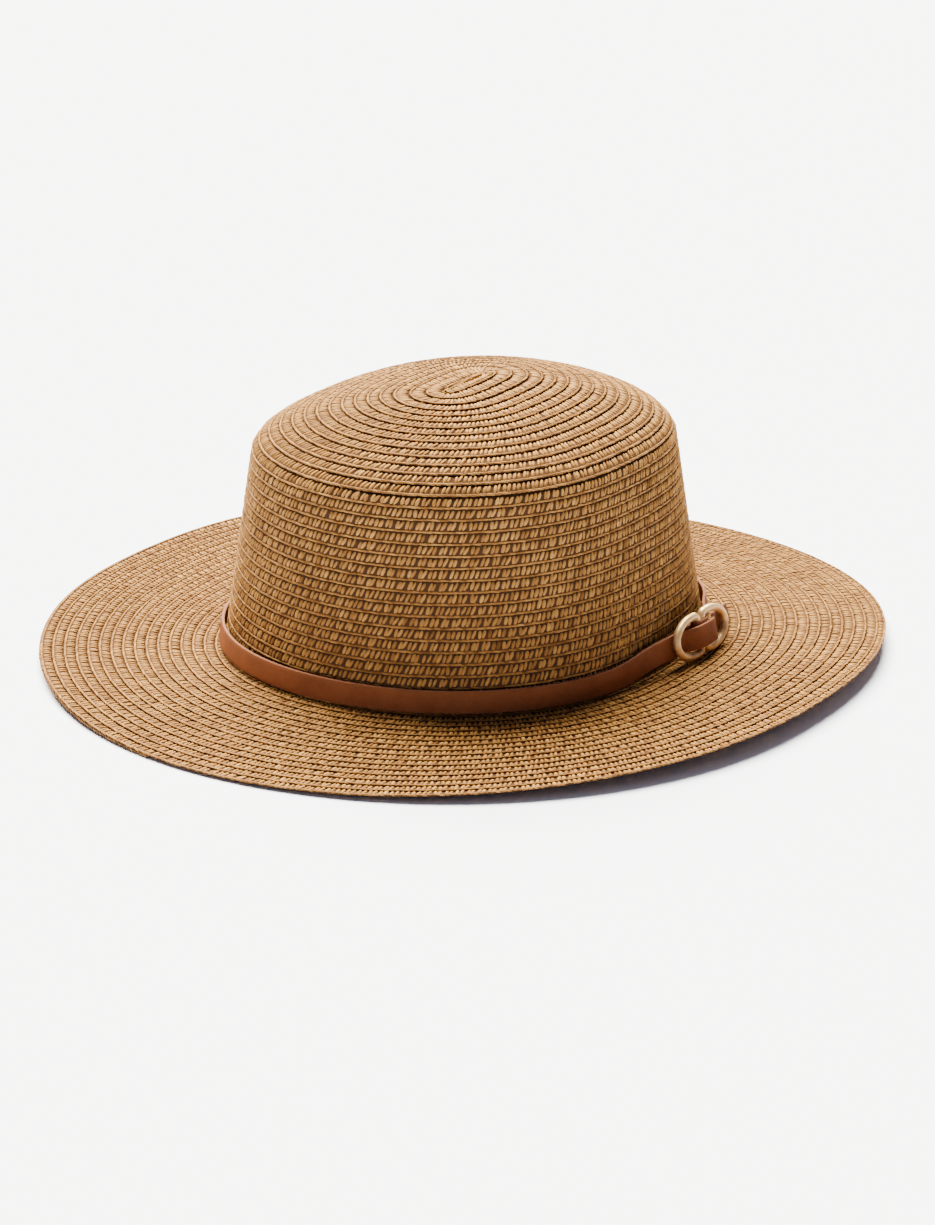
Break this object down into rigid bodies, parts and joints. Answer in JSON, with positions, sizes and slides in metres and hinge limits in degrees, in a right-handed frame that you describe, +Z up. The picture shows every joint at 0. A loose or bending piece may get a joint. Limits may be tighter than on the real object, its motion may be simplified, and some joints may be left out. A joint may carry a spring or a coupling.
{
  "type": "sewn straw sun hat",
  "caption": "Flat-brimmed sun hat of sewn straw braid with a rounded crown, inner sweatband and leather band closed by two D-rings.",
  "frame": {"origin": "centre of the hat in plan, at the height of the brim's lowest point", "axes": "+Y along the head from the front of the hat to its back (the two ends look alike), +X to the wearer's left side, where the band's two rings are, +Z up through the crown"},
  "size_m": [0.312, 0.3378, 0.1028],
  "materials": {
    "straw": "matte straw braid with a faint sheen",
    "seam_thread": "matte cotton sewing thread",
    "ribbon": "ribbed grosgrain ribbon",
    "ribbon_thread": "matte sewing thread",
    "leather": "burnished cognac leather",
    "leather_thread": "waxed thread",
    "ring_metal": "matte pale gold plating"
  },
  "bodies": {
    "hat": {"crown_tip": "straw", "crown_side": "straw", "brim": "straw", "tip_seam_thread": "seam_thread", "side_seam_thread": "seam_thread", "brim_seam_thread": "seam_thread", "sweatband": "ribbon", "sweatband_hem_stitches": "ribbon_thread", "sweatband_end_stitches": "ribbon_thread"},
    "hat_band": {"leather_band": "leather", "keeper_loop": "leather", "keeper_stitches": "leather_thread"},
    "front_ring": {"ring_front": "ring_metal"},
    "rear_ring": {"ring_rear": "ring_metal"}
  },
  "joints": [
    {"name": "band_lift", "type": "slide", "parent": "hat", "child": "hat_band", "axis": [0, 0, 1], "range_m": [0, 0.1]},
    {"name": "ring_front_swing", "type": "hinge", "parent": "hat_band", "child": "front_ring", "pos_m": [0.091, 0.0207, 0.0132], "axis": [-0.2079, 0, 0.9781], "range_deg": [0, 70]},
    {"name": "ring_rear_swing", "type": "hinge", "parent": "hat_band", "child": "rear_ring", "pos_m": [0.091, 0.0243, 0.0132], "axis": [0.2079, 0, -0.9781], "range_deg": [0, 70]}
  ]
}
